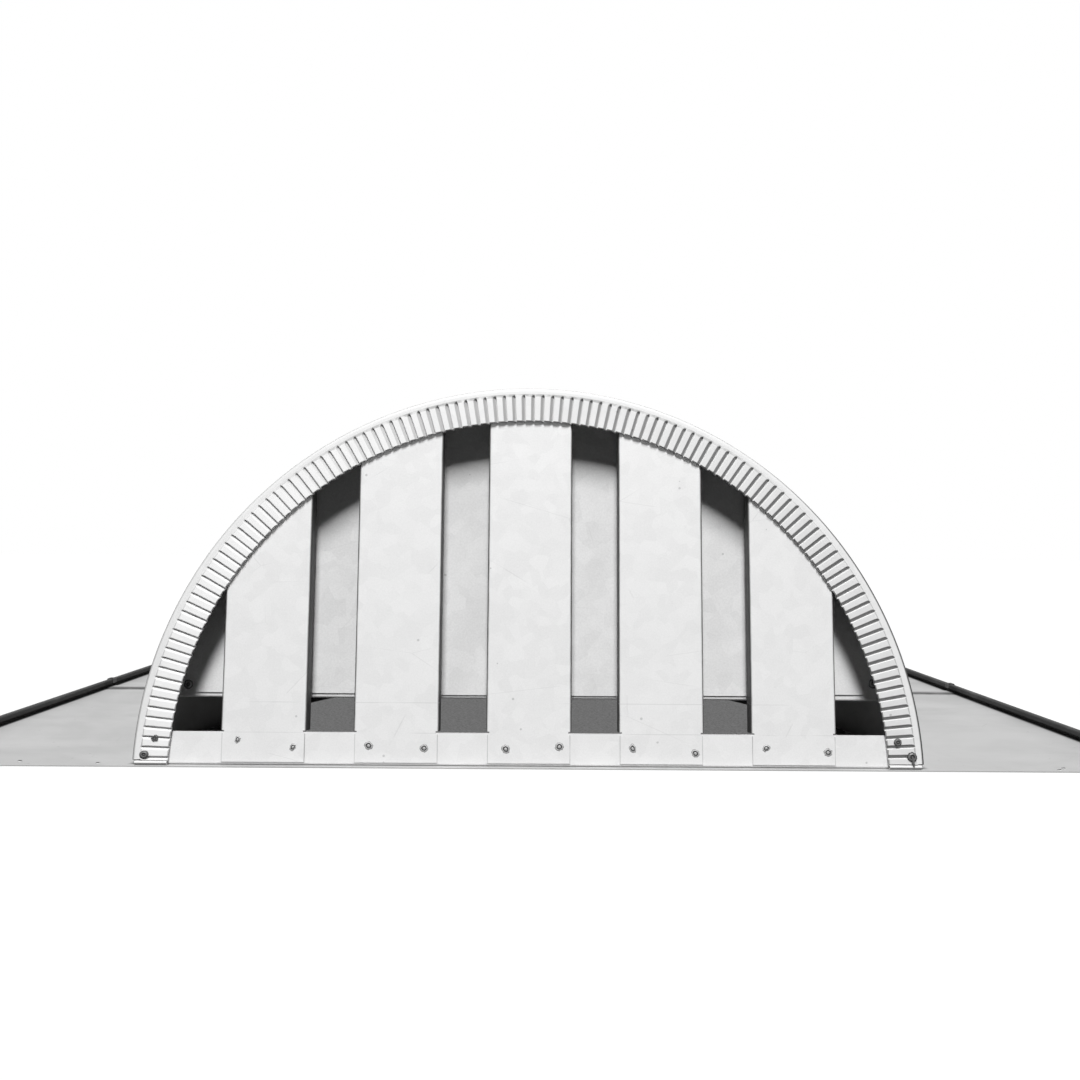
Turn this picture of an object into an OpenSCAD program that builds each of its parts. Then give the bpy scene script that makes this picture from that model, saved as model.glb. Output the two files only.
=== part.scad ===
// Half-round dormer vent in galvanised sheet: a hood over a wide roof flange, closed in
// front by a crimped rim, a sill and two rows of upright channel slats set in each other's gaps.
// +X is to the right and +Z is up from the flange. The front faces -Y.
// The origin is on the underside of the flange, midway along its width and length.

/* [Sheet metal] */
// Thickness of the sheet
sheet = 0.7; // [0.5:0.1:1]
// Inside radius of the bends
bend_r = 0.8; // [0.4:0.1:1.4]
// Gap between two sheets that lap
lap_gap = 0.2; // [0.1:0.05:0.4]

/* [Face] */
// Width of the half-round face over its rim
face_w = 614; // [560:0.5:640]
// Depth of the arch's centre under the top of the flange
arch_drop = 8; // [2:1:12]
// Angle by which the face leans back from square to the flange
face_lean = 7; // [0:0.5:12]
// Distance from the flange's front edge to the foot of the face
face_setback = 7; // [5:1:60]

/* [Hood] */
// Angle at which the top of the hood falls to the back
hood_fall = 28; // [26:1:36]

/* [Flange] */
// Width of the flange over its side hems
flange_w = 986; // [860:1:1100]
// Length of the flange from front to back
flange_l = 711; // [680:1:800]
// Distance from the front edge to the lapped seam
seam_at = 464; // [430:1:520]
// Length by which the rear sheet laps over the front one
seam_lap = 20; // [10:1:30]
// Height of the side hems
hem_h = 9.5; // [7:0.5:14]
// Width of the side hems
hem_w = 6; // [5:0.5:12]
// Length of the hem's leg that turns back down
hem_leg = 4.5; // [3:0.5:5]
// Length of the fold that locks the hems at the seam
seam_fold_l = 9; // [6:1:14]

/* [Roof opening] */
// Width of the lip that the flange leaves between the hood and the opening
opening_lip = 13; // [12:1:40]
// Distance from the foot of the face to the opening
opening_back = 70; // [50:1:80]
// Distance from the opening to the lapped seam behind it
opening_seam_gap = 12; // [6:1:60]

/* [Rim] */
// Width of the rim, from its free inner edge to the outside of the arch
rim_w = 28; // [20:0.5:32]
// Width of the plain band outside the flutes
rim_plain = 6; // [4:0.5:9]
// Number of flutes round the arch
flutes = 118; // [60:1:130]
// Depth of the flutes at the free edge
flute_depth = 1.8; // [0.8:0.1:2.4]
// How far the flutes' lands stand out from the plain band
land_rise = 0.6; // [0:0.1:0.8]
// Outside radius of the rim's outer bend
rim_bend = 2.4; // [1.4:0.1:3]
// How far the rim's lip reaches behind the plane of the face
rim_lip = 2; // [1:0.5:6]

/* [Sill] */
// Height of the sill up the face
sill_h = 25.4; // [18:0.1:35]
// Length of the sill's foot on the flange
sill_foot = 15; // [8:1:25]
// Gap between each end of the sill and the hood
sill_end_gap = 3; // [1.5:0.5:12]

/* [Slats] */
// Width of a slat
slat_w = 66.5; // [50:0.1:75]
// Depth of the returns along a slat's two edges
slat_return = 15.9; // [8:0.1:18]
// Spacing of the front slats, centre to centre
slat_pitch = 103.1; // [95:0.1:106]
// Gap between the tops of the front slats and the hood
slat_tuck = 6; // [4:0.5:12]
// Height of a front slat's foot up the face
slat_foot_h = 2.5; // [0.5:0.5:6]
// How much narrower the foot is than the slat, on each side
slat_foot_inset = 1; // [0.5:0.1:2]
// Depth of the relief notches beside the foot
slat_notch = 2.6; // [2.2:0.1:4]

/* [Rear row] */
// Distance from the plane of the face back to the rear slats
rear_depth = 22; // [18:0.5:32]
// Height of the rear slats' feet up the face
rear_foot_h = 55; // [36:1:60]
// How much further out the outer rear slats stand than the spacing gives
rear_outer_shift = 3; // [0:0.5:10]
// Height of the rear rail
rail_h = 20; // [14:1:30]
// How far the rail shows below the rear slats
rail_show = 3; // [1:0.5:6]
// Depth of the rail's lower leg
rail_leg = 12; // [6:1:20]

/* [Rivets] */
// Diameter of a rivet's head
rivet_d = 6.4; // [4:0.1:8]
// Height of a rivet's head
rivet_h = 1.3; // [0.8:0.1:2]

/* [Hidden] */

front_slats = 5;
rear_slats = 6;
// Each rear slat was set by hand, a little higher or lower than the next
rear_foot_steps = [0.5, 0.3, -0.6, -0.7, 0, 1.5];
bend_steps = 4;
arch_steps = 120;
opening_steps = 32;
seat_gap = lap_gap + 0.1;
mid_r = bend_r + sheet / 2;
half_w = flange_w / 2;
hood_r = face_w / 2;
face_y = -flange_l / 2 + face_setback;
seam_y = -flange_l / 2 + seam_at;
opening_l = seam_at - seam_lap - opening_seam_gap - face_setback - opening_back;
// Angle between the hood's top and a line square to the face
skew = hood_fall - face_lean;
// Longer than any piece, for cuts that run right through
reach = 2 * flange_w;

// Heights out from the plane of the face, in the order the sheets lie
slat_front = lap_gap + sheet;
rim_front = slat_front + lap_gap + flute_depth + sheet;
hood_front = -rim_lip - lap_gap;
// The rim stands on a closed hem at each foot
foot_hem_h = 2 * mid_r + sheet + lap_gap;
rim_foot_h = foot_hem_h + 2 * lap_gap;

galvanised = "silver";
shaded = "darkgray";
fastener = "gray";

// ---------- Bent sheet ----------

function unit(v) = v / norm(v);
function left_of(v) = [-v.y, v.x];

// Corner b of the path a, b, c moved by d to the left of the path
function moved_corner(a, b, c, d) =
    let (n = left_of(unit(b - a)), m = left_of(unit(c - b))) b + d * (n + m) / (1 + n * m);

// Points of a rounded corner, from the leg towards a to the leg towards c
function rounded(a, b, c, r) =
    let (
        u = unit(a - b),
        v = unit(c - b),
        half = acos(u * v) / 2,
        centre = b + unit(u + v) * r / sin(half),
        from = b + u * r / tan(half) - centre,
        to = b + v * r / tan(half) - centre,
        start = atan2(from.y, from.x),
        swing = (atan2(to.y, to.x) - start + 540) % 360 - 180
    )
    [for (i = [0 : bend_steps])
        let (t = start + swing * i / bend_steps) centre + r * [cos(t), sin(t)]];

// One side of a sheet whose middle follows the path, d to its left
function sheet_side(path, d) =
    let (
        n = len(path) - 1,
        first = left_of(unit(path[1] - path[0])),
        last = left_of(unit(path[n] - path[n - 1])),
        corners = [
            path[0] + d * first,
            for (i = [1 : n - 1]) moved_corner(path[i - 1], path[i], path[i + 1], d),
            path[n] + d * last
        ]
    )
    [
        corners[0],
        for (i = [1 : n - 1])
            let (turn = cross(path[i] - path[i - 1], path[i + 1] - path[i]))
                each rounded(corners[i - 1], corners[i], corners[i + 1], mid_r - sign(turn) * d),
        corners[n]
    ];

// Cross-section of a sheet bent along a path
module bent_sheet(path) {
    left = sheet_side(path, sheet / 2);
    right = sheet_side(path, -sheet / 2);
    polygon(concat(left, [for (i = [len(right) - 1 : -1 : 0]) right[i]]));
}

// ---------- Placing ----------

// On the leaning face: X across, Y up the face and Z out of it
module on_face(out = 0)
    translate([0, face_y, sheet]) rotate([90 - face_lean, 0, 0]) translate([0, 0, out]) children();

// Square to the hood's top line: X across, Y up and Z forward along the hood
module along_hood()
    translate([0, face_y, sheet]) rotate([90 - hood_fall, 0, 0])
        linear_extrude(reach, center = true) children();

// Upright on the face: X across, Y back from the face and Z up it
module up_face(height)
    on_face() rotate([-90, 0, 0]) translate([0, 0, height]) children();

// ---------- Hood ----------

function arch_arc(r, from, to) =
    [for (i = [0 : arch_steps])
        let (t = from + (to - from) * i / arch_steps)
            [r * cos(t), (r * sin(t) - arch_drop) * cos(skew)]];

// Section of the hood between two radii, carried on a little below its feet
module arch_band(inner, outer) {
    below = 8;
    polygon(concat(arch_arc(outer, -below, 180 + below), arch_arc(inner, 180 + below, -below)));
}

// All the room under the hood, less a gap along its inside
module under_hood(gap) {
    r = hood_r - sheet - gap;
    along_hood() polygon(concat(arch_arc(r, 0, 180), [[-r, -hood_r], [r, -hood_r]]));
}

module hood()
    color(galvanised)
        intersection() {
            along_hood() arch_band(hood_r - sheet, hood_r);
            translate([-reach / 2, -reach / 2, sheet + lap_gap]) cube(reach);
            on_face(hood_front - reach) translate([-reach / 2, -reach / 2, 0]) cube(reach);
        }

// ---------- Rim ----------

flute_l = rim_w - rim_plain;
rim_in = hood_r - rim_w;
// Across one flute: [share of the pitch, share of the depth], a level land, a sharp step in
// and a slope back out to the next land
flute_wave = [[0, 0], [0.55, 0], [0.66, 1], [0.69, 1]];
// Middle of the sunk part, towards which a flute narrows
flute_middle = 0.775;
// Along one flute from the free edge: [share of the length, of the depth, of the width]
flute_taper = [[0, 1, 1], [0.76, 0.97, 1], [0.9, 0.62, 0.82], [1, 0, 0.4]];
band_front = rim_front - land_rise;
waves = len(flute_wave);
fine = waves * flutes;
// [radius, height out from the face] outside the flutes, on the surface inset from the front
function rim_outside(inset) = [
    for (i = [0 : bend_steps])
        let (t = 90 * i / bend_steps, r = rim_bend - inset)
            [hood_r - rim_bend + r * sin(t), band_front - rim_bend + r * cos(t)],
    [hood_r - inset, -rim_lip]
];
outside_rows = bend_steps + 2;

// A point of the rim: f counts flutes from the right foot, and both feet end level
function rim_point(f, r, out) =
    let (
        rise = out * tan(skew) - arch_drop,
        foot = asin((rim_foot_h - rise) / r),
        t = foot + (180 - 2 * foot) * f / flutes
    )
    [r * cos(t), r * sin(t) + rise, out];

// The first point of a flute ends the slope of the one before, and narrows with it
function fluted_row(taper, inset) =
    [for (i = [0 : fine])
        let (
            wave = flute_wave[i % waves],
            middle = flute_middle - (i % waves == 0 ? 1 : 0),
            at = middle + (wave[0] - middle) * taper[2],
            f = i == 0 || i == fine ? i / waves : floor(i / waves) + at,
            height = land_rise - wave[1] * flute_depth
        )
        rim_point(f, rim_in + flute_l * taper[0], band_front - inset + height * taper[1])];

function plain_row(row) = [for (i = [0 : flutes]) rim_point(i, row[0], row[1])];

function rim_surface(inset) = concat(
    [for (taper = flute_taper) each fluted_row(taper, inset)],
    [for (row = rim_outside(inset)) each plain_row(row)]
);

tapers = len(flute_taper);
surface_points = tapers * (fine + 1) + outside_rows * (flutes + 1);
function fluted_start(side, row) = side * surface_points + row * (fine + 1);
function plain_start(side, row) =
    side * surface_points + tapers * (fine + 1) + row * (flutes + 1);

// Two triangles for each step between two rows of n + 1 points
function strip(a, b, n) =
    [for (i = [0 : n - 1]) each [[a + i, b + i, a + i + 1], [a + i + 1, b + i, b + i + 1]]];

// From the last fluted row to the first plain row, which has one point a flute
function fan(a, b) =
    [for (i = [0 : flutes - 1])
        let (p = a + waves * i, q = b + i)
            each [[p, q, p + 1], [p + 1, q, p + 2], [p + 2, q, q + 1], [p + 2, q + 1, p + 3],
                [p + 3, q + 1, p + 4]]];

function rim_side(side) = concat(
    [for (row = [0 : tapers - 2]) each strip(fluted_start(side, row), fluted_start(side, row + 1), fine)],
    fan(fluted_start(side, tapers - 1), plain_start(side, 0)),
    [for (row = [0 : outside_rows - 2])
        each strip(plain_start(side, row), plain_start(side, row + 1), flutes)]
);

// First points of all rows of a side, or the last points
function rim_end(side, last) = concat(
    [for (row = [0 : tapers - 1]) fluted_start(side, row) + (last ? fine : 0)],
    [for (row = [0 : outside_rows - 1]) plain_start(side, row) + (last ? flutes : 0)]
);

function end_faces(front, back) =
    [for (i = [0 : len(front) - 2])
        each [[front[i], back[i], front[i + 1]], [front[i + 1], back[i], back[i + 1]]]];

function flipped(faces) = [for (face = faces) [face[2], face[1], face[0]]];

module fluted_rim()
    color(galvanised)
        on_face()
            polyhedron(
                points = concat(rim_surface(0), rim_surface(sheet)),
                faces = concat(
                    rim_side(0),
                    flipped(rim_side(1)),
                    flipped(strip(fluted_start(0, 0), fluted_start(1, 0), fine)),
                    strip(plain_start(0, outside_rows - 1), plain_start(1, outside_rows - 1), flutes),
                    end_faces(rim_end(0, false), rim_end(1, false)),
                    flipped(end_faces(rim_end(0, true), rim_end(1, true)))
                )
            );

// The hem under a foot of the rim, in front of the sill: side is -1 for the left and 1 for the right
module rim_foot(side)
    color(galvanised) {
        back = face_y - lap_gap;
        front = face_y - rim_front + sheet / 2;
        low = 1.5 * sheet + lap_gap;
        high = low + foot_hem_h - sheet;
        length = rim_w - rim_bend - sheet;
        translate([side * (rim_in + sheet + length / 2) - length / 2, 0, 0])
            rotate([90, 0, 90]) linear_extrude(length)
                bent_sheet([[back, high], [front, high], [front, low], [back, low]]);
    }

// ---------- Flange ----------

// Cross-section of a base sheet with a hem folded up and inward along each side
module hemmed_sheet() {
    outer = half_w - sheet / 2;
    inner = half_w - hem_w + sheet / 2;
    top = hem_h - sheet / 2;
    bent_sheet([
        [-inner, hem_h - hem_leg], [-inner, top], [-outer, top], [-outer, sheet / 2],
        [outer, sheet / 2], [outer, top], [inner, top], [inner, hem_h - hem_leg]
    ]);
}

module base_strip(from, to)
    translate([0, to, 0]) rotate([90, 0, 0]) linear_extrude(to - from) hemmed_sheet();

// Half the width of the opening at a distance behind the face: its sides follow the hood's foot
function opening_half_w(back) =
    let (up = back / (sin(face_lean) + cos(face_lean) / tan(hood_fall)) + arch_drop)
        sqrt(pow(hood_r - opening_lip, 2) - up * up);

module opening_outline() {
    side = [for (i = [0 : opening_steps])
        let (back = opening_back + opening_l * i / opening_steps)
            [opening_half_w(back), face_y + back]];
    polygon(concat(side, [for (i = [opening_steps : -1 : 0]) [-side[i].x, side[i].y]]));
}

module base_front_sheet()
    color(galvanised)
        difference() {
            base_strip(-flange_l / 2, seam_y);
            translate([0, 0, -reach / 2]) linear_extrude(reach) opening_outline();
        }

// The rear sheet steps up at its front edge to lap over the front sheet
module base_rear_sheet()
    color(galvanised) {
        front = seam_y + lap_gap;
        lap_w = flange_w - 2 * (hem_w + seat_gap);
        base_strip(front, flange_l / 2);
        difference() {
            union() {
                translate([-lap_w / 2, front - seam_lap, sheet + lap_gap])
                    cube([lap_w, seam_lap + sheet, sheet]);
                translate([-lap_w / 2, front, sheet / 2])
                    cube([lap_w, sheet, sheet + lap_gap]);
            }
            intersection() {
                along_hood() arch_band(hood_r - sheet - seat_gap, hood_r + seat_gap);
                translate([-half_w, -half_w, sheet]) cube(flange_w);
            }
        }
    }

// A fold over the hem that locks the two base sheets at the seam: side is -1 or 1
module seam_fold(side)
    color(galvanised) {
        outer = half_w + lap_gap + sheet / 2;
        inner = half_w - hem_w - lap_gap - sheet / 2;
        top = hem_h + lap_gap + sheet / 2;
        translate([0, seam_y + seam_fold_l / 2, 0]) rotate([90, 0, 0]) linear_extrude(seam_fold_l)
            bent_sheet([
                [side * outer, hem_h - hem_leg], [side * outer, top],
                [side * inner, top], [side * inner, hem_h - hem_leg]
            ]);
    }

// ---------- Sill ----------

module sill()
    color(galvanised)
        intersection() {
            translate([-hood_r, 0, 0]) rotate([90, 0, 90]) linear_extrude(face_w)
                bent_sheet([
                    [face_y + sill_foot, 1.5 * sheet + lap_gap],
                    [face_y + sheet / 2, 1.5 * sheet + lap_gap],
                    [face_y + sheet / 2 + sill_h * tan(face_lean), sheet + sill_h]
                ]);
            under_hood(sill_end_gap);
        }

// ---------- Slats ----------

// Section of a slat: a web at a depth behind the face, with returns along both edges
module channel(web, returns) {
    edge = slat_w / 2 - sheet / 2;
    bent_sheet([[-edge, web + returns], [-edge, web], [edge, web], [edge, web + returns]]);
}

// Flat foot that laps over the sill, with a relief notch beside each bend
module slat_foot(start) {
    wide = slat_w / 2 - slat_foot_inset;
    neck = slat_w / 2 - slat_notch;
    polygon([
        [-wide, slat_foot_h], [wide, slat_foot_h], [wide, sill_h - slat_notch / 2], [neck, sill_h],
        [neck, start + sheet], [-neck, start + sheet], [-neck, sill_h], [-wide, sill_h - slat_notch / 2]
    ]);
}

module front_slat(i)
    color(galvanised) {
        start = sill_h + slat_notch / 2;
        intersection() {
            translate([(i - (front_slats + 1) / 2) * slat_pitch, 0, 0]) {
                up_face(start) linear_extrude(hood_r) channel(-lap_gap - sheet / 2, slat_return - sheet / 2);
                on_face(lap_gap) linear_extrude(sheet) slat_foot(start);
            }
            under_hood(slat_tuck);
        }
    }

function rear_slat_x(i) =
    let (place = i - (rear_slats + 1) / 2)
        place * slat_pitch + (abs(place) > 2 ? sign(place) * rear_outer_shift : 0);

// The room inside the hood at a depth behind the face, carried square to the face
module under_arch(depth, gap) {
    r = hood_r - sheet - gap;
    drop = arch_drop + depth * tan(skew);
    on_face(-reach / 2) linear_extrude(reach)
        intersection() {
            translate([0, -drop]) polygon([for (i = [0 : arch_steps])
                let (t = 180 * i / arch_steps) [r * cos(t), r * sin(t)]]);
            translate([-r, 0]) square([2 * r, r]);
        }
}

// Trimmed to the arch flat, before its returns were bent, so that no return outlasts its web
module rear_slat(i)
    color(shaded)
        intersection() {
            translate([rear_slat_x(i), 0, 0]) up_face(rear_foot_h + rear_foot_steps[i - 1])
                linear_extrude(hood_r) channel(rear_depth + sheet / 2, sheet / 2 - slat_return);
            under_arch(rear_depth + sheet, seat_gap);
        }

// An angle across the hood, behind the feet of the rear slats
module rear_rail()
    color(shaded)
        intersection() {
            translate([-hood_r, 0, 0]) up_face(0) rotate([90, 0, 90]) linear_extrude(face_w)
                let (front = rear_depth + 1.5 * sheet + lap_gap, foot = rear_foot_h - rail_show)
                    bent_sheet([[front + rail_leg, foot], [front, foot], [front, foot + rail_h]]);
            under_hood(seat_gap);
        }

// ---------- Rivets ----------

// A domed head with the dimple that its drawn pin leaves
module rivet_head() {
    dome_r = (rivet_d * rivet_d / 4 + rivet_h * rivet_h) / (2 * rivet_h);
    difference() {
        intersection() {
            cylinder(d = rivet_d, h = rivet_h, $fn = 48);
            translate([0, 0, rivet_h - dome_r]) sphere(dome_r, $fn = 64);
        }
        translate([0, 0, rivet_h + 0.55 * rivet_d / 4]) sphere(rivet_d / 4, $fn = 32);
    }
}

module rivet_pair(x, height, out)
    on_face(out)
        for (side = [-1, 1])
            translate([side * x, height, 0]) rivet_head();

module rim_rivets()
    color(fastener) {
        rivet_pair(rim_in + 0.66 * rim_w, rivet_d + 2, rim_front + lap_gap);
        rivet_pair(rim_in + 0.36 * rim_w, 3 * rivet_d + 1, rim_front + lap_gap);
    }

// Through the webs of the two outer rear slats into the rail
module rail_rivets()
    color(fastener)
        rivet_pair(rear_slat_x(rear_slats) + slat_w / 4, rear_foot_h + rail_h / 2.4, lap_gap - rear_depth);

base_front_sheet();
base_rear_sheet();
hood();
fluted_rim();
sill();
front_slat(1);  // front_slat_1
front_slat(2);  // front_slat_2
front_slat(3);  // front_slat_3
front_slat(4);  // front_slat_4
front_slat(5);  // front_slat_5
rear_slat(1);  // rear_slat_1
rear_slat(2);  // rear_slat_2
rear_slat(3);  // rear_slat_3
rear_slat(4);  // rear_slat_4
rear_slat(5);  // rear_slat_5
rear_slat(6);  // rear_slat_6
rear_rail();
rim_foot(-1);  // rim_foot_left
rim_foot(1);  // rim_foot_right
seam_fold(-1);  // seam_fold_left
seam_fold(1);  // seam_fold_right
rim_rivets();
rail_rivets();
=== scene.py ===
"""Half-round dormer vent: crimped rim, rivets, clinch marks, sheet finishes and a plain studio stage."""

import math
import random

import bmesh
import bpy
from bpy.props import FloatProperty, FloatVectorProperty, IntProperty, PointerProperty
from mathutils import Matrix, Vector


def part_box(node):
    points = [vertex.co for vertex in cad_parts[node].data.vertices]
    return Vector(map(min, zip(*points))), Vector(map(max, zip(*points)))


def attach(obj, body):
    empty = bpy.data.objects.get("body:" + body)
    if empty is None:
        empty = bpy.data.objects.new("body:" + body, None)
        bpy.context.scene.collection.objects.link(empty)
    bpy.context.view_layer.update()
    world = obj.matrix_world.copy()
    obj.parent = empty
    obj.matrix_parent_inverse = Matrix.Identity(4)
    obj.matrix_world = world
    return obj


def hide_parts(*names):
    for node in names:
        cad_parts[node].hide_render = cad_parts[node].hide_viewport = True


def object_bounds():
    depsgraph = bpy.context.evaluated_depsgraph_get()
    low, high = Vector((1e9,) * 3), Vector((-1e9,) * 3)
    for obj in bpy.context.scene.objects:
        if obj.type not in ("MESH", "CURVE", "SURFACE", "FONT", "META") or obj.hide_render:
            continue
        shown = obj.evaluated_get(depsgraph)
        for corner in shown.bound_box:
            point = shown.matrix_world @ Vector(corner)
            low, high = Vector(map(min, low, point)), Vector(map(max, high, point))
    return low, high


bl_info = {
    "name": "Half-Round Dormer Vent",
    "version": (1, 1, 0),
    "blender": (4, 5, 0),
    "location": "View3D > Sidebar > Dormer Vent",
    "description": "Crimps, fastens and finishes a sheet-metal dormer vent and sets it on a pale floor",
    "category": "Object",
}

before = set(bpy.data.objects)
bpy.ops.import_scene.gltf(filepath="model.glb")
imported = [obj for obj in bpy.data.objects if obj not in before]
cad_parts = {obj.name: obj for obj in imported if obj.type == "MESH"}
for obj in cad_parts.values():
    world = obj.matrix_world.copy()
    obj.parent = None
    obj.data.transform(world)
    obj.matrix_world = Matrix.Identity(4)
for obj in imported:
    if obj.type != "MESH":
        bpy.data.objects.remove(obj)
CAD_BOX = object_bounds()

FRONT_SLATS = sorted(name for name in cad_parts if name.startswith("front_slat"))
REAR_SLATS = sorted(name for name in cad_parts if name.startswith("rear_slat"))
BASE_SHEETS = ("base_front_sheet", "base_rear_sheet")
RIM_FEET = ("rim_foot_left", "rim_foot_right")
SEAM_FOLDS = ("seam_fold_left", "seam_fold_right")

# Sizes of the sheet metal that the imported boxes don't give
SHEET = 0.0007
LAP_GAP = 0.0002
FACE_LEAN = math.radians(7)
HOOD_FALL = math.radians(28)
FACE_SETBACK = 0.007
ARCH_DROP = 0.008
RIM_FOOT_HEIGHT = 0.0036
RIM_WIDTH = 0.028
RIM_LIP = 0.002
HEM_WIDTH = 0.006

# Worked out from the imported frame
HALF_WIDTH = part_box("base_front_sheet")[1].x
FACE_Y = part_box("base_front_sheet")[0].y + FACE_SETBACK
ARCH_RADIUS = math.hypot(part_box("fluted_rim")[1].x, RIM_FOOT_HEIGHT + ARCH_DROP)
SLAT_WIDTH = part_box("front_slat_3")[1].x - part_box("front_slat_3")[0].x
SLAT_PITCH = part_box("front_slat_4")[1].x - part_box("front_slat_3")[1].x
SLAT_FRONT = LAP_GAP + SHEET
RIM_INNER = ARCH_RADIUS - RIM_WIDTH
SKEW = math.tan(HOOD_FALL - FACE_LEAN)


# ---------------------------------------------------------------- settings

# What the lengths, angles, shares and colours below have in common
LENGTH = {"subtype": "DISTANCE", "unit": "LENGTH"}
ANGLE = {"subtype": "ANGLE", "unit": "ROTATION"}
SHARE = {"subtype": "FACTOR", "min": 0, "max": 1}
COLOUR = {"subtype": "COLOR", "size": 3, "min": 0, "max": 1}


class RimSettings(bpy.types.PropertyGroup):
    """Crimping of the rim."""

    flutes: IntProperty(
        name="Flutes", description="Number of flutes crimped round the arch",
        min=60, max=130, default=118)
    flute_depth: FloatProperty(
        name="Flute Depth", description="Depth of a flute at the rim's free edge",
        **LENGTH, min=0.0005, max=0.003, default=0.0018)
    plain_band: FloatProperty(
        name="Plain Band", description="Width of the plain band outside the flutes",
        **LENGTH, min=0.003, max=0.01, default=0.006)
    land_rise: FloatProperty(
        name="Land Rise", description="How far the flutes' lands stand out from the plain band",
        **LENGTH, min=0, max=0.0008, default=0.0006)
    land_slant: FloatProperty(
        name="Land Slant", subtype="FACTOR", min=0, max=0.4, default=0.16,
        description="Share of the flutes' depth by which a land slants across its width")
    outer_bend: FloatProperty(
        name="Outer Bend", **LENGTH, min=0.001, max=0.004, default=0.0024,
        description="Outside radius of the bend that turns the rim back over the hood")
    unevenness: FloatProperty(
        name="Unevenness", description="How much the hand-crimped flutes differ from each other",
        **SHARE, default=0.5)


class FasteningSettings(bpy.types.PropertyGroup):
    """Rivets and clinch marks."""

    rivet_radius: FloatProperty(
        name="Rivet Radius", description="Radius of a blind rivet's head",
        **LENGTH, min=0.002, max=0.005, default=0.0031)
    rivet_height: FloatProperty(
        name="Rivet Height", description="Height of a blind rivet's head",
        **LENGTH, min=0.0005, max=0.002, default=0.0012)
    clinch_radius: FloatProperty(
        name="Clinch Radius", description="Radius of a clinch mark in a slat's foot",
        **LENGTH, min=0.001, max=0.004, default=0.0028)


class SheetSettings(bpy.types.PropertyGroup):
    """Colours and surface of the galvanised sheet."""

    # The face, flange and inner colours are one galvanised sheet in three tones: the flange's and the
    # hood's set darker and the rear slats' lighter than the face's, as painted shade and painted light
    # for how much light each gets
    face_colour: FloatVectorProperty(
        name="Face Colour", description="Colour of the sill, the front slats and the rim",
        **COLOUR, default=(0.80, 0.80, 0.80))
    flange_colour: FloatVectorProperty(
        name="Flange Colour", description="Colour of the hood and the two base sheets",
        **COLOUR, default=(0.47, 0.47, 0.47))
    inner_colour: FloatVectorProperty(
        name="Inner Colour", description="Colour of the rear slats and their rail",
        **COLOUR, default=(0.82, 0.82, 0.82))
    # Near-black colour of the painted shade laid in folds and corners, along the slats' bent edges, the
    # hems, the seam and the hood's foot, and on rivet seats, nail holes and clinch marks
    grime_colour: FloatVectorProperty(
        name="Grime Colour", description="Colour of the dull film in folds and corners",
        **COLOUR, default=(0.05, 0.05, 0.05))
    metallic: FloatProperty(
        name="Metallic", description="How much the sheet reflects as bare metal",
        **SHARE, default=0.2)
    roughness: FloatProperty(
        name="Roughness", description="Roughness of the clean sheet",
        **SHARE, default=0.5)
    grain: FloatProperty(
        name="Grain", description="Strength of the fine grain of the zinc",
        **SHARE, default=0.5)


class StageSettings(bpy.types.PropertyGroup):
    """Camera and lamp."""

    camera_distance: FloatProperty(
        name="Camera Distance", description="From the camera to the foot of the face",
        **LENGTH, min=0.3, max=5, default=0.9)
    camera_height: FloatProperty(
        name="Camera Height", description="Height of the camera over the flange",
        **LENGTH, min=0.02, max=3, default=0.1802)
    camera_aside: FloatProperty(
        name="Camera Aside", description="How far the camera stands right of the vent's middle",
        **LENGTH, min=-1, max=1, default=0.0052)
    camera_lens: FloatProperty(
        name="Lens", description="Focal length on a 36 mm wide sensor, in millimetres",
        min=10, max=200, default=38.70)
    camera_yaw: FloatProperty(
        name="Camera Yaw", description="Turn of the camera to the left",
        **ANGLE, min=-3.2, max=3.2, default=math.radians(-0.16))
    camera_pitch: FloatProperty(
        name="Camera Pitch", description="Tilt of the camera upwards",
        **ANGLE, min=-1.5, max=1.5, default=math.radians(-0.23))
    camera_roll: FloatProperty(
        name="Camera Roll", description="Turn of the camera about its own axis",
        **ANGLE, min=-0.2, max=0.2, default=math.radians(0.39))
    lamp_level: FloatProperty(
        name="Lamp Level", description="Share of the lamp's usual power",
        min=0, max=4, default=1.0)


# ---------------------------------------------------------------- placing and mesh helpers

def face_point(across, up, out):
    """The world point at these lengths across, up and out of the leaning face."""
    return Vector((
        across,
        FACE_Y + up * math.sin(FACE_LEAN) - out * math.cos(FACE_LEAN),
        SHEET + up * math.cos(FACE_LEAN) + out * math.sin(FACE_LEAN),
    ))


def rim_point(share, radius, out):
    """A point of the rim: share runs from 0 at the right foot to 1 at the left foot."""
    rise = out * SKEW - ARCH_DROP
    foot = math.asin((RIM_FOOT_HEIGHT - rise) / radius)
    angle = foot + (math.pi - 2 * foot) * share
    return face_point(radius * math.cos(angle), radius * math.sin(angle) + rise, out)


def rim_crest(settings):
    """Height out of the face of the rim's lands."""
    return SLAT_FRONT + LAP_GAP + settings.flute_depth + SHEET


def ease(share, amount=1.0):
    """A ramp from 0 to 1 with rounded ends, straight where the amount is 0."""
    share = min(1.0, max(0.0, share))
    return share + amount * (share * share * (3 - 2 * share) - share)


def finish_piece(bm, name, materials, sharp=40.0):
    """Turns mesh code's result into a piece of the vent."""
    bmesh.ops.recalc_face_normals(bm, faces=bm.faces)
    mesh = bpy.data.meshes.new(name)
    bm.to_mesh(mesh)
    bm.free()
    for polygon in mesh.polygons:
        polygon.use_smooth = True
    mesh.set_sharp_from_angle(angle=math.radians(sharp))
    for material in materials:
        mesh.materials.append(material)
    piece = bpy.data.objects.new(name, mesh)
    bpy.context.collection.objects.link(piece)
    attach(piece, "root")
    return piece


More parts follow.
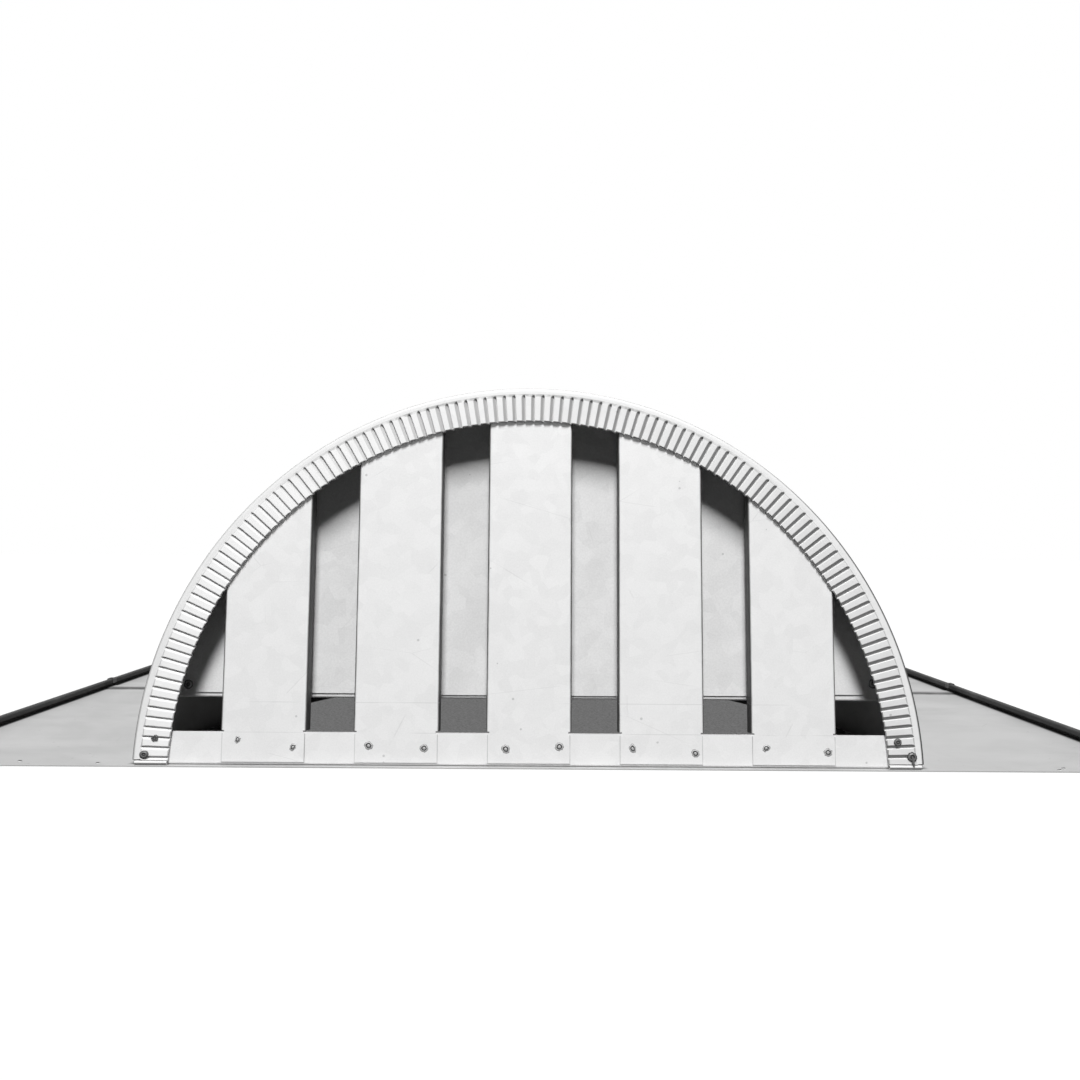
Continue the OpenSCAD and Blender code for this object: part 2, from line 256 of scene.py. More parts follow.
def bridge(bm, lower, upper, index=0):
    """Joins two rings of vertices, of which the upper may be a single tip, by faces."""
    for i in range(len(lower)):
        j = (i + 1) % len(lower)
        past = (upper[0],) if len(upper) == 1 else (upper[j], upper[i])
        bm.faces.new((lower[i], lower[j]) + past).material_index = index


def face_lathe(bm, centre, profile, segments=24, squash=1.0, turn=0.0, rough=0.0, seed=0, tilt=0.0):
    """Turns a profile of (radius, height, material index) about a line square to the face.

    The shape can be squashed, turned, tilted and made ragged; its foot is closed."""
    chance = random.Random(seed)
    ragged = [1 + rough * (2 * chance.random() - 1) for _ in range(segments)]
    rows = []
    for radius, height, _ in profile:
        if radius == 0:
            rows.append([bm.verts.new(face_point(centre[0], centre[1], centre[2] + height))])
            continue
        row = []
        for i in range(segments):
            angle = math.tau * i / segments
            wide = radius * ragged[i] * math.cos(angle)
            tall = radius * ragged[i] * math.sin(angle) * squash
            across = wide * math.cos(turn) - tall * math.sin(turn)
            up = wide * math.sin(turn) + tall * math.cos(turn)
            out = height + tilt * across
            row.append(bm.verts.new(face_point(centre[0] + across, centre[1] + up, centre[2] + out)))
        rows.append(row)
    bm.faces.new(rows[0][::-1]).material_index = profile[0][2]
    for lower, upper, (_, _, index) in zip(rows, rows[1:], profile[1:]):
        bridge(bm, lower, upper, index)


# ---------------------------------------------------------------- the crimped rim

# Across one flute, as shares of its pitch: where the land ends, the step in ends and the slope starts
LAND_END, STEP_END, SLOPE_START = 0.585, 0.635, 0.66
# Middle of the sunk part, towards which a flute narrows at its tip
FLUTE_MIDDLE = 0.775
# Where the columns of a flute lie, as shares of its pitch
FLUTE_COLUMNS = (0.0, 0.03, 0.10, 0.30, 0.50, 0.565, 0.588, 0.61, 0.632, 0.645, 0.665, 0.72, 0.82, 0.93)
# Where the rows of a flute lie, as shares of its length from the free edge
FLUTE_ROWS = (0.0, 0.05, 0.25, 0.5, 0.74, 0.84, 0.90, 0.925, 0.945, 0.965, 0.983, 1.0)
# Where a flute's height starts to run out and its width to round off, as shares of its length
LEVEL_END, WIDTH_END = 0.925, 0.82
# How much the hand-crimped flutes may differ in depth, in length and in place
DEPTH_CHANCE, END_CHANCE, PLACE_CHANCE = 0.14, 0.03, 0.07
# Where the plain band's rows lie, as shares of its flat part, and the steps of the bend beyond it
BAND_ROWS = (0.8, 0.4, 0.0)
BEND_STEPS = 5


def wave_depth(share, slant):
    """Depth across one flute: a slightly slanted land, a sharp step in and a slope back out."""
    if share < LAND_END:
        return slant * (1.0 - share / LAND_END)
    if share < SLOPE_START:
        return ease((share - LAND_END) / (STEP_END - LAND_END), 0.7)
    return 1.0 - (1.0 - slant) * ease((share - SLOPE_START) / (1.0 - SLOPE_START), 0.3)


def tip_level(along, start):
    """Share of a flute's height that is left along it: all of it, and then a rounded end."""
    return 1.0 if along < start else 1.0 - ease((along - start) / (1.0 - start), 1.0)


def tip_width(along):
    """Width along one flute: even, then rounded like the tip of a finger."""
    past = max(0.0, (along - WIDTH_END) / (1.0 - WIDTH_END))
    return max(0.45, math.sqrt(max(0.0, 1.0 - 0.8 * past * past)))


def build_rim(settings, materials):
    """The crimped rim: flutes inside, then the plain band, the bend and the lip over the hood."""
    chance = random.Random(24)
    uneven = settings.unevenness
    flutes = settings.flutes
    length = RIM_WIDTH - settings.plain_band
    front = rim_crest(settings)
    band = front - settings.land_rise
    deep = [1 + DEPTH_CHANCE * uneven * (chance.random() - 0.5) for _ in range(flutes + 1)]
    start = [LEVEL_END + END_CHANCE * uneven * (chance.random() - 0.5) for _ in range(flutes + 1)]
    shift = [PLACE_CHANCE * uneven * (chance.random() - 0.5) for _ in range(flutes + 1)]

    bm = bmesh.new()
    rows = []
    for along in FLUTE_ROWS:
        radius = RIM_INNER + length * along
        width = tip_width(along)
        row = []
        for i in range(flutes):
            for column in FLUTE_COLUMNS:
                # The first half of the land narrows towards the flute before it
                middle = FLUTE_MIDDLE - (1 if column < LAND_END / 2 else 0)
                at = middle + (column - middle) * width + shift[i] if i + column > 0 else 0.0
                depth = wave_depth(column, settings.land_slant) * settings.flute_depth * deep[i]
                level = tip_level(along, start[i])
                out = band + settings.land_rise * level - depth * level
                row.append(bm.verts.new(rim_point((i + at) / flutes, radius, out)))
        out = band + settings.land_rise * tip_level(along, start[flutes])
        row.append(bm.verts.new(rim_point(1.0, radius, out)))
        rows.append(row)

    columns = len(rows[0])
    bend = settings.outer_bend
    flat = settings.plain_band - bend
    outline = [(ARCH_RADIUS - bend - flat * share, band) for share in BAND_ROWS]
    for i in range(1, BEND_STEPS + 1):
        angle = math.pi / 2 * i / BEND_STEPS
        outline.append((ARCH_RADIUS - bend + bend * math.sin(angle),
                        band - bend + bend * math.cos(angle)))
    outline.append((ARCH_RADIUS, -RIM_LIP))
    for radius, out in outline:
        rows.append([
            bm.verts.new(rim_point(i / (columns - 1), radius, out)) for i in range(columns)])
    for lower, upper in zip(rows, rows[1:]):
        for i in range(columns - 1):
            bm.faces.new((lower[i], upper[i], upper[i + 1], lower[i + 1]))

    piece = finish_piece(bm, "crimped_rim", materials, sharp=50)
    thickness = piece.modifiers.new("sheet", "SOLIDIFY")
    thickness.thickness = SHEET
    thickness.offset = -1.0 if piece.data.polygons[0].normal.y < 0 else 1.0
    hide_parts("fluted_rim")
    return piece


# ---------------------------------------------------------------- rivets and clinch marks

def rivet_profile(radius, height, recess):
    """A domed head over a thin dark seat, with the recess that the drawn pin leaves; the seat and the
    inside of the recess are painted shade.
    """
    return (
        (radius * 1.16, 0.0, 1), (radius * 1.14, 0.00012, 1), (radius * 1.0, 0.0002, 1),
        (radius * 0.98, height * 0.35, 0), (radius * 0.85, height * 0.72, 0),
        (radius * 0.66, height * 0.94, 0), (recess * 1.25, height, 0), (recess, height * 0.92, 0),
        (recess * 0.9, height * 0.45, 1), (recess * 0.45, height * 0.42, 1),
        (recess * 0.38, height * 0.8, 0), (0, height * 0.84, 0),
    )


def hanging_pin(bm, centre, drop, lean, radius):
    """The bent shank of a pin that hangs from its rivet."""
    steps, segments = 5, 10
    rows = []
    for k in range(steps + 1):
        share = k / steps
        across = centre[0] + lean * share
        up = centre[1] - drop * share
        out = centre[2] + 0.0012 - 0.0004 * share
        thin = radius * (1 - 0.25 * share)
        rows.append([
            bm.verts.new(face_point(
                across + thin * math.cos(math.tau * i / segments), up,
                out + thin * math.sin(math.tau * i / segments)))
            for i in range(segments)])
    for lower, upper in zip(rows, rows[1:]):
        bridge(bm, lower, upper)
    bm.faces.new(rows[0][::-1])
    bm.faces.new(rows[-1])


# The rivets at the rim's feet: side, how far in and how far up they stand, then the head's radius, its
# height and its recess as shares of the usual head's radius and height, and how the head was struck
RIM_RIVETS = (
    (-1, 0.0035, 0.0078, 1.0, 1.0, 0.5, {"squash": 0.82, "turn": 0.1, "rough": 0.05, "seed": 3}),
    (-1, 0.0112, 0.0200, 0.8, 0.5, 0.55,
     {"squash": 0.8, "turn": 0.5, "rough": 0.22, "seed": 5, "tilt": 0.05}),
    (1, 0.0145, 0.0205, 0.86, 0.9, 0.5, {"rough": 0.04, "seed": 7}),
    (1, 0.0037, 0.0093, 1.08, 1.1, 0.6, {"rough": 0.08, "seed": 9}),
)
# The pin left in the lower right one: how far in and how far up it starts
PIN_PLACE = (0.0037, 0.0090)
# The rivets in the rear rail: side, how far in and how far up they stand, and the seed of their edge
RAIL_RIVETS = ((-1, 0.0047, -0.0018, 11), (1, 0.0018, 0.0021, 13))
# How much further up the face a rail rivet lies than its height gives, because it is behind the face
RAIL_RIVET_RISE = 0.0027


def build_rim_rivets(settings, materials):
    """Two rivets at each foot of the rim, one of them struck flat and one with its pin left in."""
    low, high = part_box("rim_rivets")
    centre_out = rim_crest(bpy.context.scene.vent_rim) + LAP_GAP / 2
    radius, height = settings.rivet_radius, settings.rivet_height
    bm = bmesh.new()
    for side, inward, up, wide, tall, recess, strike in RIM_RIVETS:
        end = high.x if side > 0 else low.x
        face_lathe(bm, (end - side * inward, up, centre_out),
                   rivet_profile(radius * wide, height * tall, radius * recess), **strike)
    inward, up = PIN_PLACE
    hanging_pin(bm, (high.x - inward, up, centre_out), drop=0.0062, lean=0.0012, radius=0.0011)
    piece = finish_piece(bm, "rim_rivet_heads", materials)
    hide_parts("rim_rivets")
    return piece


def build_rail_rivets(settings, materials):
    """One rivet through each outer rear slat into the rail."""
    low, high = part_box("rail_rivets")
    radius, height = settings.rivet_radius, settings.rivet_height
    up = ((low.z + high.z) / 2 - SHEET) / math.cos(FACE_LEAN) + RAIL_RIVET_RISE
    behind = (low.y + high.y - 2 * FACE_Y) / 2 / math.cos(FACE_LEAN)
    seat = up * math.tan(FACE_LEAN) - behind - height / 2
    bm = bmesh.new()
    for side, inward, rise, seed in RAIL_RIVETS:
        face_lathe(bm, (side * (high.x - radius - inward), up + rise, seat),
                   rivet_profile(radius * 1.05, height, radius * 0.55), rough=0.06, seed=seed, tilt=0.06)
    piece = finish_piece(bm, "rail_rivet_heads", materials)
    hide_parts("rail_rivets")
    return piece


# Clinch marks of each front slat, from left to right: across from the slat's middle and up the face
CLINCH_PLACES = (
    ((-0.0198, 0.0195), (0.0233, 0.0140)),
    ((-0.0212, 0.0154), (0.0220, 0.0137)),
    ((-0.0178, 0.0134), (0.0239, 0.0154)),
    ((-0.0223, 0.0143), (0.0264, 0.0109)),
    ((-0.0216, 0.0152), (0.0264, 0.0123)),
)


def clinch_profile(radius):
    """A torn ring round a pushed-in middle; its foot and the trough inside the ring are painted shade.
    """
    return (
        (radius * 1.2, 0.0, 1), (radius * 1.12, 0.0001, 1), (radius * 0.95, 0.00034, 0),
        (radius * 0.78, 0.00038, 0), (radius * 0.6, 0.00014, 1), (radius * 0.42, 0.0001, 1),
        (radius * 0.3, 0.0003, 0), (0, 0.00034, 0),
    )


def build_clinches(settings, materials):
    """A pair of clinch marks low on each front slat, where its foot is locked to the sill."""
    bm = bmesh.new()
    for number, places in enumerate(CLINCH_PLACES):
        middle = sum(corner.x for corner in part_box(FRONT_SLATS[number])) / 2
        for k, (across, up) in enumerate(places):
            seed = 31 + 2 * number + k
            chance = random.Random(seed)
            radius = settings.clinch_radius * (0.9 + 0.2 * chance.random())
            face_lathe(bm, (middle + across, up, SLAT_FRONT + MARK_LIFT), clinch_profile(radius),
                       segments=18, squash=0.7 + 0.25 * chance.random(),
                       turn=math.pi * chance.random(), rough=0.16, seed=seed)
    return finish_piece(bm, "clinch_marks", materials)


# How far the marks' dark seats stand off the sheet
MARK_LIFT = 0.00005
# Nail marks along the front edge of the flange: across, and back from the front edge
NAIL_PLACES = ((-0.398, 0.016), (-0.335, 0.010), (0.418, 0.012), (0.412, 0.006))
# The burr of a nail mark, from its foot into the hole: radius and height
NAIL_PROFILE = ((0.0022, 0.0), (0.0017, 0.0005), (0.0011, 0.0006), (0.0008, 0.0001))


def build_nail_marks(materials):
    """Small burred nail holes near the front edge of the flange; the hole and the inside of its burr are
    painted shade.
    """
    bm = bmesh.new()
    edge = CAD_BOX[0].y
    segments = 12
    for seed, (across, back) in enumerate(NAIL_PLACES):
        chance = random.Random(70 + seed)
        ragged = [1 + 0.3 * (chance.random() - 0.5) for _ in range(segments)]
        rows = []
        for radius, height in NAIL_PROFILE:
            rows.append([
                bm.verts.new((across + radius * ragged[i] * math.cos(math.tau * i / segments),
                              edge + back + radius * ragged[i] * math.sin(math.tau * i / segments),
                              SHEET + MARK_LIFT + height))
                for i in range(segments)])
        bm.faces.new(rows[0][::-1]).material_index = 1
        for level, (lower, upper) in enumerate(zip(rows, rows[1:])):
            bridge(bm, lower, upper, min(level, 1))
        bm.faces.new(rows[-1]).material_index = 1
    return finish_piece(bm, "nail_marks", materials)


# ---------------------------------------------------------------- node helpers

class Wiring:
    """Adds nodes to a tree and joins their sockets."""

    def __init__(self, tree):
        self.tree = tree

    def node(self, kind, **values):
        made = self.tree.nodes.new(kind)
        for key, value in values.items():
            setattr(made, key, value)
        return made

    def join(self, source, target):
        self.tree.links.new(source, target)

    def feed(self, node, **inputs):
        """Sets or joins inputs; a socket name's spaces are written as underscores."""
        for label, value in inputs.items():
            socket = node.inputs[label.replace("_", " ")]
            if isinstance(value, bpy.types.NodeSocket):
                self.join(value, socket)
            else:
                socket.default_value = value
        return node

    def math(self, operation, first, second=0.0, third=None, clamp=False):
        made = self.node("ShaderNodeMath", operation=operation, use_clamp=clamp)
        for socket, value in zip(made.inputs, (first, second, third)):
            if isinstance(value, bpy.types.NodeSocket):
                self.join(value, socket)
            elif value is not None:
                socket.default_value = value
        return made.outputs[0]

    def spread(self, value, low, high, to_low=0.0, to_high=1.0, smooth=True):
        """Maps a value from one range to another, clamped."""
        made = self.node(
            "ShaderNodeMapRange", interpolation_type="SMOOTHSTEP" if smooth else "LINEAR")
        self.feed(made, Value=value, From_Min=low, From_Max=high, To_Min=to_low, To_Max=to_high)
        return made.outputs["Result"]

    def noise(self, where, scale, detail=3.0, roughness=0.5, distortion=0.0):
        made = self.node("ShaderNodeTexNoise")
        self.feed(made, Vector=where, Scale=scale, Detail=detail, Roughness=roughness,
                  Distortion=distortion)
        return made.outputs["Fac"]

    def place(self, scale=(1, 1, 1), turn=(0, 0, 0)):
        """Object coordinates, stretched and turned."""
        where = self.node("ShaderNodeTexCoord").outputs["Object"]
        made = self.node("ShaderNodeMapping")
        self.feed(made, Vector=where, Rotation=turn, Scale=scale)
        return made.outputs["Vector"]

    def axes(self, vector=None):
        """The X, Y and Z outputs of a vector, or of the object coordinates."""
        if vector is None:
            vector = self.node("ShaderNodeTexCoord").outputs["Object"]
        return self.feed(self.node("ShaderNodeSeparateXYZ"), Vector=vector)

    def tint(self, factor, first, second):
        """Mixes two colours by a factor."""
        made = self.node("ShaderNodeMix", data_type="RGBA", blend_type="MIX")
        for label, value in (("Factor_Float", factor), ("A_Color", first), ("B_Color", second)):
            socket = next(s for s in made.inputs if s.identifier == label)
            if isinstance(value, bpy.types.NodeSocket):
                self.join(value, socket)
            else:
                socket.default_value = value
        return next(s for s in made.outputs if s.identifier == "Result_Color")


def new_group(name, inputs, outputs):
    """Starts a shader node group; gives its wiring, its float inputs {name: default} and its end."""
    group = bpy.data.node_groups.new(name, "ShaderNodeTree")
    for label, default in inputs.items():
        socket = group.interface.new_socket(label, in_out="INPUT", socket_type="NodeSocketFloat")
        socket.default_value = default
    for label in outputs:
        group.interface.new_socket(label, in_out="OUTPUT", socket_type="NodeSocketFloat")
    w = Wiring(group)
    return w, w.node("NodeGroupInput").outputs, w.node("NodeGroupOutput")


def seen_directly(w):
    """1 where the camera, a reflection or glass looks at the surface."""
    path = w.node("ShaderNodeLightPath")
    seen = w.math("ADD", path.outputs["Is Camera Ray"], path.outputs["Is Glossy Ray"], clamp=True)
    return w.math("ADD", seen, path.outputs["Is Transmission Ray"], clamp=True)


# ---------------------------------------------------------------- effect groups

def zinc_grain_group():
    """Fine speckle of a hot-dip coating with faint larger crystals."""
    w, given, leave = new_group(
        "Zinc Grain", {"Size": 900.0, "Crystals": 0.3}, ("Speckle", "Height"))
    where = w.place()
    fine = w.noise(where, given["Size"], detail=4.0, roughness=0.65)
    crystals = w.node("ShaderNodeTexVoronoi", feature="F1")
    w.feed(crystals, Vector=where, Scale=w.math("MULTIPLY", given["Size"], 0.12))
    crystal_value = w.node("ShaderNodeSeparateColor")
    w.join(crystals.outputs["Color"], crystal_value.inputs["Color"])
    mixed = w.math("MULTIPLY_ADD", w.math("SUBTRACT", crystal_value.outputs[0], 0.5),
                   given["Crystals"], fine)
    w.join(w.math("ADD", mixed, 0.0, clamp=True), leave.inputs["Speckle"])
    w.join(fine, leave.inputs["Height"])
    return w.tree


def rolling_streaks_group():
    """Soft streaks along the sheet, with wiped swirls laid over them."""
    w, given, leave = new_group(
        "Rolling Streaks", {"Across": 40.0, "Along": 3.0, "Swirl": 0.4}, ("Streaks",))
    where = w.node("ShaderNodeTexCoord").outputs["Object"]
    stretch = w.node("ShaderNodeCombineXYZ")
    w.feed(stretch, X=given["Along"], Y=given["Across"], Z=given["Across"])
    scaled = w.node("ShaderNodeVectorMath", operation="MULTIPLY")
    w.join(where, scaled.inputs[0])
    w.join(stretch.outputs["Vector"], scaled.inputs[1])
    lines = w.noise(scaled.outputs["Vector"], 1.0, detail=5.0, roughness=0.6, distortion=0.3)
    swirls = w.noise(where, 5.0, detail=3.0, roughness=0.55, distortion=2.2)
    both = w.math("MULTIPLY_ADD", w.math("SUBTRACT", swirls, lines), given["Swirl"], lines)
    w.join(w.spread(both, 0.3, 0.7), leave.inputs["Streaks"])
    return w.tree


def hairlines_group():
    """Sparse thin scratches: crossings of warped cells, kept only in patches."""
    w, given, leave = new_group(
        "Hairlines", {"Size": 9.0, "Width": 0.004, "Amount": 0.5}, ("Mask",))
    where = w.place(scale=(1.0, 2.2, 2.6), turn=(0.3, 0.2, 0.5))
    cells = w.node("ShaderNodeTexVoronoi", feature="DISTANCE_TO_EDGE")
    w.feed(cells, Vector=where, Scale=given["Size"])
    line = w.math("LESS_THAN", cells.outputs["Distance"], given["Width"])
    patch = w.spread(w.noise(where, 14.0, detail=2.0), 0.52, 0.62)
    w.join(w.math("MULTIPLY", w.math("MULTIPLY", line, patch), given["Amount"]),
           leave.inputs["Mask"])
    return w.tree


def bend_shade_group():
    """Painted shade and dark reflection in lines along the two bent edges of every slat in an evenly
    spaced row.
    """
    w, given, leave = new_group(
        "Bend Shade", {"Pitch": 0.1, "Half Width": 0.03, "Line": 0.001}, ("Mask",))
    parts = w.axes()
    from_middle = w.math("ABSOLUTE", w.math("WRAP", parts.outputs["X"],
                                            w.math("MULTIPLY", given["Pitch"], 0.5),
                                            w.math("MULTIPLY", given["Pitch"], -0.5)))
    inside = w.math("SUBTRACT", given["Half Width"], from_middle)
    waver = w.math("MULTIPLY", w.noise(w.place(), 60.0, detail=2.0), 0.0006)
    line = w.math("DIVIDE", w.math("SUBTRACT", inside, waver), given["Line"])
    w.join(w.spread(line, 0.0, 1.0, 1.0, 0.0), leave.inputs["Mask"])
    return w.tree


def press_lines_group():
    """Faint level lines that the folding press left at two heights."""
    w, given, leave = new_group(
        "Press Lines", {"Low": 0.026, "High": 0.05, "Width": 0.0005}, ("Mask",))
    parts = w.axes()
    lines = []
    for label in ("Low", "High"):
        away = w.math("ABSOLUTE", w.math("SUBTRACT", parts.outputs["Z"], given[label]))
        lines.append(w.math("LESS_THAN", away, given["Width"]))
    broken = w.spread(w.noise(w.place(), 16.0, detail=4.0), 0.45, 0.6)
    w.join(w.math("MULTIPLY", w.math("MAXIMUM", *lines), broken), leave.inputs["Mask"])
    return w.tree


def hem_shade_group():
    """Painted shade and dark reflection over the side hems, less on their outer walls, and a lighter
    broken line along their crests that is a painted highlight.
    """
    w, given, leave = new_group(
        "Hem Shade", {"Inner Edge": 0.487, "Crest": 0.49}, ("Painted Shade", "Lit Crest"))
    parts = w.axes()
    away = w.math("ABSOLUTE", parts.outputs["X"])
    over = w.math("SUBTRACT", away, given["Inner Edge"])
    band = w.spread(over, -0.004, 0.0005)
    patchy = w.noise(w.place(scale=(1, 0.25, 1)), 45.0, detail=4.0, roughness=0.6)
    facing = w.axes(w.node("ShaderNodeNewGeometry").outputs["Normal"])
    outward = w.math("MULTIPLY", facing.outputs["X"], w.math("SIGN", parts.outputs["X"]))
    shade_amount = w.math("MULTIPLY", w.spread(patchy, 0.15, 0.5, 0.75, 1.0),
                       w.spread(outward, 0.5, 0.9, 1.0, 0.3))
    w.join(w.math("MULTIPLY", band, shade_amount), leave.inputs["Painted Shade"])
    near = w.math("ABSOLUTE", w.math("SUBTRACT", away, given["Crest"]))
    line = w.spread(near, 0.0005, 0.0013, 1.0, 0.0)
    broken = w.spread(w.noise(w.place(scale=(1, 0.5, 1)), 60.0, detail=3.0), 0.42, 0.55)
    w.join(w.math("MULTIPLY", line, broken), leave.inputs["Lit Crest"])
    return w.tree


def hood_joint_group():
    """Painted shadow on the flange, close along the foot of the hood, behind the face only."""
    w, given, leave = new_group(
        "Hood Foot Shadow", {"Radius": 0.3, "Drop": 0.01, "Front": -0.35, "Slope": 0.5, "Reach": 0.004},
        ("Mask",))
    parts = w.axes()
    back = w.math("SUBTRACT", parts.outputs["Y"], given["Front"])
    up = w.math("MULTIPLY_ADD", back, given["Slope"], given["Drop"])
    across = w.math("MULTIPLY", parts.outputs["X"], parts.outputs["X"])
    outward = w.math("SQRT", w.math("MULTIPLY_ADD", up, up, across))
    gap = w.math("ABSOLUTE", w.math("SUBTRACT", outward, given["Radius"]))
    waver = w.math("MULTIPLY", w.noise(w.place(), 30.0, detail=3.0), 0.5)
    edge = w.math("DIVIDE", gap, w.math("MULTIPLY", given["Reach"], w.math("ADD", waver, 0.75)))
    behind = w.math("GREATER_THAN", back, 0.0)
    w.join(w.math("MULTIPLY", w.spread(edge, 0.0, 1.0, 1.0, 0.0), behind), leave.inputs["Mask"])
    return w.tree


def arch_edge_group():
    """Painted shade along the arch's outer edge, wider towards the right, and patchy painted shade at
    the tips of the flutes towards its top.
    """
    tips_inward = 0.0066
    w, given, leave = new_group(
        "Arch Edge Shade",
        {"Radius": 0.3, "Drop": 0.01, "Front": -0.35, "Foot": 0.001, "Skew": 0.4, "Reach": 0.001},
        ("Mask", "Tip Shade"))
    parts = w.axes()
    back = w.math("SUBTRACT", parts.outputs["Y"], given["Front"])
    height = w.math("SUBTRACT", parts.outputs["Z"], given["Foot"])
    lean_sin, lean_cos = math.sin(FACE_LEAN), math.cos(FACE_LEAN)
    up = w.math("MULTIPLY_ADD", height, lean_cos, w.math("MULTIPLY", back, lean_sin))
    out = w.math("MULTIPLY_ADD", height, lean_sin, w.math("MULTIPLY", back, -lean_cos))
    rise = w.math("ADD", w.math("SUBTRACT", up, w.math("MULTIPLY", out, given["Skew"])),
                  given["Drop"])
    across = w.math("MULTIPLY", parts.outputs["X"], parts.outputs["X"])
    inward = w.math("SUBTRACT", given["Radius"],
                    w.math("SQRT", w.math("MULTIPLY_ADD", rise, rise, across)))
    # The painted shade is wider towards the right, where the rim's shadow falls
    right = w.spread(parts.outputs["X"], 0.16, 0.27, 1.0, 2.3)
    reach = w.math("MULTIPLY", given["Reach"], right)
    w.join(w.spread(w.math("DIVIDE", inward, reach), 0.4, 1.0, 1.0, 0.0), leave.inputs["Mask"])
    past_tips = w.math("ABSOLUTE", w.math("SUBTRACT", inward, tips_inward))
    tips = w.spread(past_tips, 0.0006, 0.0017, 1.0, 0.0)
    shade_patches = w.spread(w.noise(w.place(), 150.0, detail=2.0), 0.35, 0.6, 0.45, 1.0)
    # Painted shade at the flutes' ends only towards the arch's top, where those ends face down
    high = w.spread(rise, 0.19, 0.3, 0.0, 1.0)
    w.join(w.math("MULTIPLY", w.math("MULTIPLY", tips, shade_patches), high), leave.inputs["Tip Shade"])
    return w.tree


def flank_shade_group():
    """Painted shade on the flanks of the crimps: deep where they look down, thin where they face up."""
    w, given, leave = new_group("Fold Film", {"Level": 0.99, "Steep": 0.955}, ("Mask",))
    facing = w.node("ShaderNodeVectorMath", operation="DOT_PRODUCT")
    normal = w.node("ShaderNodeNewGeometry").outputs["Normal"]
    w.join(normal, facing.inputs[0])
    facing.inputs[1].default_value = (0.0, -math.cos(FACE_LEAN), math.sin(FACE_LEAN))
    flank = w.spread(facing.outputs["Value"], given["Steep"], given["Level"], 1.0, 0.0)
    open_flank = w.spread(facing.outputs["Value"], 0.35, 0.6)
    down = w.spread(w.axes(normal).outputs["Z"], -0.3, 0.45, 1.0, 0.28)
    w.join(w.math("MULTIPLY", w.math("MULTIPLY", flank, open_flank), down), leave.inputs["Mask"])
    return w.tree


def seam_shade_group():
    """Painted shade in a line along the free edge of the lapped seam."""
    w, given, leave = new_group("Seam Film", {"Edge": 0.09, "Width": 0.003}, ("Mask",))
    parts = w.axes()
    away = w.math("ABSOLUTE", w.math("SUBTRACT", parts.outputs["Y"], given["Edge"]))
    patchy = w.spread(w.noise(w.place(), 35.0, detail=3.0), 0.3, 0.6, 0.6, 1.0)
    line = w.spread(w.math("DIVIDE", away, given["Width"]), 0.4, 1.0, 1.0, 0.0)
    w.join(w.math("MULTIPLY", line, patchy), leave.inputs["Mask"])
    return w.tree


def specks_group():
    """Scattered small dark specks and pinholes in the coating."""
    w, given, leave = new_group("Specks", {"Size": 160.0, "Share": 0.03}, ("Mask",))
    where = w.place()
    cells = w.node("ShaderNodeTexVoronoi", feature="F1")
    w.feed(cells, Vector=where, Scale=given["Size"])
    near = w.math("LESS_THAN", cells.outputs["Distance"], 0.16)
    parts = w.node("ShaderNodeSeparateColor")
    w.join(cells.outputs["Color"], parts.inputs["Color"])
    chosen = w.math("LESS_THAN", parts.outputs[0], given["Share"])
    w.join(w.math("MULTIPLY", near, chosen), leave.inputs["Mask"])
    return w.tree


def build_groups():
    return {
        "grain": zinc_grain_group(),
        "streaks": rolling_streaks_group(),
        "hairlines": hairlines_group(),
        "bends": bend_shade_group(),
        "press": press_lines_group(),
        "hems": hem_shade_group(),
        "foot_shadow": hood_joint_group(),
        "arch_edge_shade": arch_edge_group(),
        "folds": flank_shade_group(),
        "seam": seam_shade_group(),
        "specks": specks_group(),
    }


GROUPS = {}
MATERIALS = {}


def add_group(w, key, **values):
    made = w.node("ShaderNodeGroup", node_tree=GROUPS[key])
    for label, value in values.items():
        made.inputs[label.replace("_", " ")].default_value = value
    return made


# ---------------------------------------------------------------- materials

def rgba(colour, level=1.0):
    return tuple(min(1.0, part * level) for part in colour) + (1.0,)


